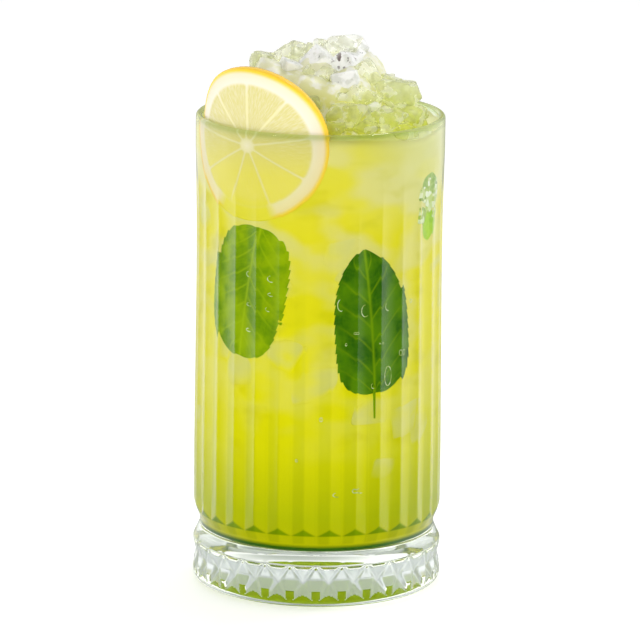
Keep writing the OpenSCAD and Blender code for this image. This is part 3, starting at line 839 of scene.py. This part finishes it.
def mix(tree, fac, a, b, mode="MIX"):
    """A colour mix: a where fac is 0 and b where it is 1."""
    return add(tree, "Mix", {0: fac, 6: a, 7: b}, data_type="RGBA", blend_type=mode).outputs[2]


def times(tree, *factors):
    """The product of all factors."""
    result = factors[0]
    for factor in factors[1:]:
        result = add(tree, "Math", {0: result, 1: factor}, operation="MULTIPLY").outputs[0]
    return result


def tint(tree, base, colour, *masks):
    """A colour, given as it looks on screen, laid over a base as strongly as the product of the masks."""
    return mix(tree, times(tree, *masks), base, linear(*colour))


# %% [markdown]
# ## Effects that several finishes share
# Soft noise, a share of the height, the ripple of melting ice and the drink's colours are each one node
# group with named inputs. The drink is painted darkest green in the rounded corner at its floor, as shade
# there, yellow-green in the middle and paler towards the ice, so its tone goes by height alone. The liquid
# and the ice sunk in it share one cloudy version of that tone. The sunk ice then shows only where it touches
# the wall.


# %% Shared groups
def new_group(name, output, kind, **inputs):
    """A shader node group with named inputs and one output. Gives its tree, its inputs and its output."""
    tree = bpy.data.node_groups.new(name, "ShaderNodeTree")
    for label, label_kind in inputs.items():
        tree.interface.new_socket(label, in_out="INPUT", socket_type="NodeSocket" + label_kind)
    tree.interface.new_socket(output, in_out="OUTPUT", socket_type="NodeSocket" + kind)
    return tree, tree.nodes.new("NodeGroupInput").outputs, tree.nodes.new("NodeGroupOutput").inputs[0]


def use(tree, group, **values):
    """A group placed in a tree with its own values."""
    return add(tree, "Group", values, node_tree=group).outputs[0]


# a soft mask: 0 where the noise is below Low and 1 where it is above High
soft_noise, given, result = new_group("soft_noise", "Mask", "Float", Place="Vector", Stretch="Vector",
                                      Scale="Float", Detail="Float", Low="Float", High="Float")
stretched = add(soft_noise, "Mapping", {"Vector": given["Place"], "Scale": given["Stretch"]})
noise = add(soft_noise, "TexNoise", {"Vector": stretched.outputs["Vector"], "Scale": given["Scale"],
                                     "Detail": given["Detail"]})
feed(soft_noise, result,
     map_range(soft_noise, noise.outputs["Fac"], given["Low"], given["High"], kind="SMOOTHSTEP"))

# the height of a place, from 0 at Low to 1 at High
height_share, given, result = new_group("height_share", "Share", "Float", Place="Vector", Low="Float",
                                        High="Float")
height = axis_of(height_share, given["Place"], "Z")
feed(height_share, result, map_range(height_share, height, given["Low"], given["High"]))

# a rough, melting surface
ice_ripple, given, result = new_group("ice_ripple", "Normal", "Vector", Place="Vector", Scale="Float",
                                      Strength="Float")
noise = add(ice_ripple, "TexNoise", {"Vector": given["Place"], "Scale": given["Scale"], "Detail": 4.0})
bump = add(ice_ripple, "Bump", {"Height": noise.outputs["Fac"], "Strength": given["Strength"],
                                "Distance": 0.6 * MM})
feed(ice_ripple, result, bump.outputs["Normal"])


def noise_mask(tree, place, scale, low, high, stretch=(1, 1, 1), detail=3.0):
    """A mask from the soft noise group."""
    return use(tree, soft_noise, Place=place, Stretch=stretch, Scale=scale, Detail=detail, Low=low, High=high)


def height_mask(tree, place, low, high):
    """A mask from the height group."""
    return use(tree, height_share, Place=place, Low=low, High=high)


# %% The drink's colours
lime_tone_floor_shade, given, result = new_group("lime_tone_floor_shade", "Color", "Color", Place="Vector")
# the lowest stops paint shade: dark green in the rounded corner at the well's floor
feed(lime_tone_floor_shade, result, ramp(lime_tone_floor_shade, height_mask(lime_tone_floor_shade, given["Place"], FLOOR_Z, RIM_Z), [
    (0.0, (190, 214, 0)), (0.001, (46, 98, 0)), (0.016, (58, 110, 0)),
    (0.027, (204, 204, 0)), (0.09, (200, 206, 0)), (0.24, (230, 227, 0)),
    (0.42, (242, 234, 4)), (0.72, (240, 231, 34)), (1.0, (234, 227, 84))]))

# the tone with pulp, darker swirls and a pale patch at the upper right, and clear of them near the floor
cloudy_lime, given, result = new_group("cloudy_lime", "Color", "Color", Place="Vector")
tree, place = cloudy_lime, given["Place"]
tone = use(tree, lime_tone_floor_shade, Place=place)
pulp = noise_mask(tree, place, 46, 0.42, 0.62, (1, 1, 1.9), 1.5)
swirl = noise_mask(tree, place, 70, 0.54, 0.72, (1, 1, 1.7), 2.0)
at_right = map_range(tree, axis_of(tree, place, "X"), 8 * MM, 32 * MM)
cloudy = tint(tree, tone, (233, 228, 150), pulp, height_mask(tree, place, 40 * MM, 125 * MM), 0.8)
cloudy = tint(tree, cloudy, (214, 208, 0), swirl, 0.4)
cloudy = tint(tree, cloudy, (226, 230, 184), at_right, height_mask(tree, place, 118 * MM, 146 * MM), 0.65)
feed(tree, result, mix(tree, height_mask(tree, place, 30 * MM, 55 * MM), tone, cloudy))
print("shared groups:", [group.name for group in bpy.data.node_groups])

# %% [markdown]
# ## Glass
# Clear glass lets all light through and bends it by its index of 1.5. Its colour is nearly white, with the
# green tint and the painted shade kept on the points. The star cuts carry a painted reflection: a pale grey
# colour on a half-clear, slightly rough finish stands in for the bright surroundings they mirror, so they
# look silvery.

# %% Glass materials
GLASS_IOR = 1.5
tree, shader = new_material(glass, "pressed_glass", Roughness=0.0, IOR=GLASS_IOR, Transmission_Weight=1.0)
# painted shade: dark green at the low ends of the flutes
shade = mix(tree, attribute(tree, "hill_shade"), (0.935, 0.97, 0.91, 1), (0.17, 0.38, 0.02, 1))
# painted shade: the darker side of each flute, multiplied into the glass's colour
shade = mix(tree, attribute(tree, "flute_side_shade"), shade, (0.70, 0.76, 0.66, 1), "MULTIPLY")
shade = mix(tree, attribute(tree, "rim"), shade, (0.47, 0.62, 0.30, 1))
feed(tree, shader["Base Color"], shade)
# painted reflection: the star cuts' pale grey colour stands in for the bright surroundings they mirror
tree, shader = new_material(glass, "star_cut_painted_reflection", Base_Color=(0.66, 0.71, 0.72, 1), Roughness=0.1,
                            IOR=GLASS_IOR, Transmission_Weight=0.55)
glass.data.polygons.foreach_set("material_index", in_cut)

# %% [markdown]
# ## Drink and ice
# Ice is clear where it is wet and white where it holds air. The heap's colours go from the drink's yellow at
# its foot to white at its peak. The clear chunks get white flecks, and the frosted ones get pits and one
# patch of painted shadow, where a gap between chunks lies in shade.

# %% Drink and sunk ice materials
SOFT_WET = {"Roughness": 0.35, "Specular_IOR_Level": 0.05}
tree, shader = new_material(drink, "cloudy_lime", **SOFT_WET)
feed(tree, shader["Base Color"], use(tree, cloudy_lime, Place=coordinates(tree)))

tree, shader = new_material(sunk_ice, "ice_in_drink", **SOFT_WET)
place = coordinates(tree)
touch = map_range(tree, attribute(tree, "touch"), 0.02, 0.75, kind="SMOOTHSTEP")
grain = noise_mask(tree, place, 60, 0.3, 0.62, (1, 1, 1.6), 1.5)
feed(tree, shader["Base Color"],
     tint(tree, use(tree, cloudy_lime, Place=place), (226, 224, 140), touch, grain, 0.75))


# %% Heaped ice materials
def heap_colours(piece, name, stops, **constants):
    """A material with a ramp of colours from the drink's level to the peak."""
    tree, shader = new_material(piece, name, **constants)
    place = coordinates(tree)
    share = height_mask(tree, place, LEVEL, HEAP_TOP)
    return tree, shader, place, share, ramp(tree, share, stops)


tree, shader, place, share, wet = heap_colours(clear_ice, "clear_ice", [
    (0.0, (222, 224, 60)), (0.25, (218, 224, 122)), (0.6, (232, 235, 196)), (1.0, (240, 241, 228))],
    IOR=1.31, Transmission_Weight=0.62)
white = noise_mask(tree, place, 260, 0.5, 0.58, detail=7.0)
wet = tint(tree, wet, (164, 168, 112), noise_mask(tree, place, 300, 0.5, 0.66, detail=4.0), 0.5)
wet = tint(tree, wet, (255, 255, 253), white, map_range(tree, share, 0.0, 1.0, 0.3, 0.95))
feed(tree, shader["Base Color"], wet)
feed(tree, shader["Roughness"], map_range(tree, white, 0.0, 1.0, 0.06, 0.45))
feed(tree, shader["Normal"], use(tree, ice_ripple, Place=place, Scale=520, Strength=0.6))

tree, shader, place, share, frost = heap_colours(frosted_ice, "frosted_ice", [
    (0.0, (222, 228, 130)), (0.35, (232, 236, 200)), (0.55, (246, 247, 242)), (1.0, (252, 252, 252))],
    Roughness=0.4)
# painted shadow: dark grey-brown specks round one point, for a gap between chunks that lies in shade
SHADOW_GAP = (6.7 * MM, -9.5 * MM, LEVEL + 24.4 * MM)
to_shadow_gap = add(tree, "VectorMath", {0: place, 1: SHADOW_GAP}, operation="DISTANCE").outputs["Value"]
near_shadow_gap = map_range(tree, to_shadow_gap, 1.4 * MM, 5.0 * MM, 1.0, 0.0)
frost = tint(tree, frost, (190, 194, 178), noise_mask(tree, place, 300, 0.5, 0.64, detail=4.0), 0.5)
frost = tint(tree, frost, (104, 88, 88), noise_mask(tree, place, 620, 0.56, 0.6, detail=2.0), near_shadow_gap, 0.95)
frost = tint(tree, frost, (120, 118, 112), noise_mask(tree, place, 900, 0.7, 0.73, detail=1.0), 0.7)
feed(tree, shader["Base Color"], frost)
feed(tree, shader["Normal"], use(tree, ice_ripple, Place=place, Scale=700, Strength=0.7))

tree, shader, place, share, packed = heap_colours(ice_core, "packed_ice", [
    (0.0, (206, 208, 40)), (0.4, (222, 222, 132)), (0.8, (234, 234, 204)), (1.0, (240, 242, 230))],
    Roughness=0.4)
grit = noise_mask(tree, place, 320, 0.46, 0.64, detail=5.0)
feed(tree, shader["Base Color"], tint(tree, packed, (250, 250, 244), grit, 0.7))

# %% [markdown]
# ## Lemon
# The finish of the slice goes by the numbers kept on its points: the distance from the core gives skin,
# pith and peel, and the angle gives the fibres of the flesh. Low down the slice takes on the drink's tone.

# %% Lemon material
tree, shader = new_material(lemon, "lemon_flesh_and_peel", Roughness=0.22, Specular_IOR_Level=0.3)
place = coordinates(tree)
dist, fleshy = attribute(tree, "slice_radius"), attribute(tree, "flesh")
peel_edge = PEEL_R / SLICE_R
rind = ramp(tree, dist, [
    (0.0, (252, 244, 224)), (0.12, (240, 233, 184)), (0.6, (240, 233, 180)),
    (PITH_R / SLICE_R, (246, 236, 214)), (peel_edge - 0.03, (247, 230, 198)),
    (peel_edge + 0.01, (252, 214, 70)), (1.0, (253, 204, 44))])
wave = add(tree, "CombineXYZ", {"X": times(tree, attribute(tree, "slice_angle"), 5.5),
                                "Y": times(tree, dist, 1.4)}).outputs["Vector"]
juice = tint(tree, linear(222, 213, 140), (229, 221, 170), noise_mask(tree, wave, 7.0, 0.35, 0.7))
tone = use(tree, lime_tone_floor_shade, Place=place)
soaked = height_mask(tree, place, LEVEL + 7 * MM, LEVEL - 8 * MM)
sunk = height_mask(tree, place, LEVEL + 6 * MM, slice_low)
face = tint(tree, mix(tree, fleshy, rind, juice), (243, 232, 88), soaked, fleshy, 0.8)
face = mix(tree, times(tree, sunk, 0.35), face, tone)
feed(tree, shader["Base Color"], mix(tree, attribute(tree, "veiled"), face, tone))

# %% [markdown]
# ## Shard, bubbles and mint
# The shard's facets are painted light and shade: the cells of a Voronoi pattern get colours from dark green
# to white, and the whitest cells stand for glints. A leaf is blotched between a dark and a light green
# and is palest on its veins.

# %% Shard and bubble materials
tree, shader = new_material(wall_chip, "ice_chip", Roughness=0.2)
place = coordinates(tree)
# painted light and shade: each cell stands in for a lit or shaded facet, and the whitest cells are glints
cells = add(tree, "TexVoronoi", {"Vector": place, "Scale": 620.0}).outputs["Color"]
facet_light_and_glint = ramp(tree, axis_of(tree, cells, "X"), [
    (0.0, (120, 150, 70)), (0.25, (196, 212, 120)), (0.6, (214, 224, 168)),
    (0.85, (250, 252, 250))])
leafy = tint(tree, facet_light_and_glint, (176, 214, 20), 0.6)
feed(tree, shader["Base Color"], mix(tree, height_mask(tree, place, 114 * MM, 136 * MM), leafy, facet_light_and_glint))

tree, shader = new_material(bubble_highlights, "bubble_highlight_ring", Roughness=0.15)
# painted highlight: the rings run in noise from green to nearly white
ring_highlight = noise_mask(tree, coordinates(tree), 700, 0.35, 0.65)
feed(tree, shader["Base Color"], tint(tree, linear(176, 200, 90), (244, 250, 214), ring_highlight))

# %% Leaf materials
for leaf, name, dark, light, rib in (
        (left_leaf, "mint_light", (106, 150, 0), (160, 190, 0), (176, 202, 20)),
        (right_leaf, "mint_dark", (44, 100, 0), (92, 142, 0), (140, 178, 0)),
        (scrap_top, "mint_pale", (128, 172, 50), (170, 200, 110), (196, 216, 140)),
        (scrap_low, "mint_bright", (130, 196, 0), (176, 220, 20), (190, 226, 60))):
    tree, shader = new_material(leaf, name, Roughness=0.4, Specular_IOR_Level=0.05)
    blotch = noise_mask(tree, coordinates(tree), 130, 0.35, 0.65)
    blade = tint(tree, linear(*dark), light, blotch)
    blade = tint(tree, blade, light, attribute(tree, "net"), 0.3)
    feed(tree, shader["Base Color"], tint(tree, blade, rib, attribute(tree, "vein"), 0.75))

# %% [markdown]
# ## Ride on the frame
# The drink has no moving parts, so every piece rides on the one body. Each piece is listed with the slot of
# the record its finish belongs to, which is printed, and with the CAD node it stands for where it has one,
# which is hidden.

# %% Ride and replace
for piece, slot, cad_node in (
        (glass, "clear_glass", "glass"), (drink, "lime_drink", "drink"), (clear_ice, "crushed_ice", None),
        (frosted_ice, "crushed_ice", None), (ice_core, "crushed_ice", "ice_heap"),
        (sunk_ice, "crushed_ice", None), (lemon, "lemon", "lemon_slice"),
        (left_leaf, "mint", "mint_leaf_left"), (right_leaf, "mint", "mint_leaf_right"),
        (scrap_top, "mint", None), (scrap_low, "mint", None),
        (wall_chip, "crushed_ice", None), (bubble_highlights, "lime_drink", None)):
    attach(piece, "root")
    if cad_node:
        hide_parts(cad_node)
    print(piece.name, "rides on root, slot", slot, f"and stands for {cad_node}" if cad_node else "")

# %% [markdown]
# ## Studio
# Glass is lit by what surrounds it. A pale floor, a bright soft sky and two wide lamps give a clean high-
# key picture, and two small lamps add glints. Glass and clear ice cast no shadows here, so that the lamps
# light the drink straight through them. The wide lamps are kept out of mirrored and refracted light, where
# they would show as white squares.

# %% Floor
bpy.ops.mesh.primitive_plane_add(size=8, location=(0, 0, -0.2 * MM))
floor = bpy.context.object
floor.name = "floor"
new_material(floor, "pale_floor", Base_Color=(0.94, 0.94, 0.94, 1), Roughness=0.6,
             Emission_Color=(1, 1, 1, 1), Emission_Strength=0.36)
floor.visible_glossy = False
for piece in (glass, clear_ice):
    piece.visible_shadow = False

# %% [markdown]
# The sky is dark in front and bright at the sides and the back, but for a dim spot straight behind, so that
# each flute gets a dark and a bright edge. It is dimmer overhead and below the horizon. The camera itself
# sees plain white.

# %% Sky
world = bpy.data.worlds.new("soft_sky")
bpy.context.scene.world = world
world.use_nodes = True
sky = world.node_tree
SKY_FRONT = (-0.1, -0.995, 0)
direction = add(sky, "TexCoord").outputs["Generated"]
upwards = axis_of(sky, direction, "Z")
forwards = add(sky, "VectorMath", {0: direction, 1: SKY_FRONT}, operation="DOT_PRODUCT").outputs["Value"]
light = ramp(sky, map_range(sky, forwards, -1.0, 1.0), [
    (0.0, (0.22, 0.24, 0.22)), (0.025, (0.5, 0.52, 0.5)), (0.06, (1, 1, 1)), (0.46, (1, 1, 1)),
    (0.59, (0.5, 0.5, 0.5)), (0.73, (0.1, 0.1, 0.1)), (0.875, (0.02, 0.02, 0.02))],
    colour_space=lambda r, g, b: (r, g, b, 1.0))
light = mix(sky, 1.0, light, map_range(sky, upwards, 0.15, 0.8, 1.0, 0.5), "MULTIPLY")
light = mix(sky, 1.0, light, map_range(sky, upwards, -0.75, -0.05, 0.05, 1.0), "MULTIPLY")
seen = mix(sky, add(sky, "LightPath").outputs["Is Camera Ray"], light, (0.645, 0.645, 0.645, 1.0))
feed(sky, sky.nodes["Background"].inputs["Color"], seen)
sky.nodes["Background"].inputs["Strength"].default_value = 1.55


# %% Lamps
def soft_lamp(name, place, aim, size, power, glossy=False, transmission=False):
    """A square lamp at a place, turned to face a point, and seen or not in mirrored and refracted light."""
    data = bpy.data.lights.new(name, "AREA")
    data.shape = "SQUARE"
    data.size = size
    data.energy = power
    lamp = bpy.data.objects.new(name, data)
    bpy.context.collection.objects.link(lamp)
    lamp.location = place
    lamp.rotation_euler = (Vector(aim) - Vector(place)).to_track_quat("-Z", "Y").to_euler()
    lamp.visible_glossy = glossy
    lamp.visible_transmission = transmission
    print(f"{name}: {power} W, {size} m wide")


soft_lamp("key_lamp", (-0.5, -1.1, 0.35), (0, 0, 0.06), 0.9, 6.9)
soft_lamp("fill_lamp", (0.7, -1.0, 0.3), (0, 0, 0.06), 0.9, 5.6)
soft_lamp("glint_lamp", (0.35, 0.25, 0.95), (0, 0, 0.15), 0.16, 1.6, glossy=True, transmission=True)
soft_lamp("glint_left", (-0.6, -0.5, 0.8), (0, 0, 0.15), 0.10, 0.8, glossy=True)

# %% Camera
LOOK_DOWN, ROLL = math.radians(12.84), math.radians(0.6)
lens = bpy.data.cameras.new("camera")
lens.sensor_width = 36
lens.lens = 289.6
lens.clip_start = 0.05
camera = bpy.data.objects.new("camera", lens)
bpy.context.collection.objects.link(camera)
camera.location = (0.00044, -1.6, 0.449)
aim = Matrix.Rotation(math.pi / 2 - LOOK_DOWN, 4, "X") @ Matrix.Rotation(ROLL, 4, "Z")
camera.rotation_euler = aim.to_euler()
scene = bpy.context.scene
scene.camera = camera
scene.view_settings.view_transform = "Standard"
scene.cycles.max_bounces = 24
scene.cycles.transmission_bounces = 20
scene.cycles.transparent_max_bounces = 16
scene.cycles.glossy_bounces = 8
scene.cycles.diffuse_bounces = 4
scene.cycles.caustics_refractive = True
scene.cycles.caustics_reflective = True
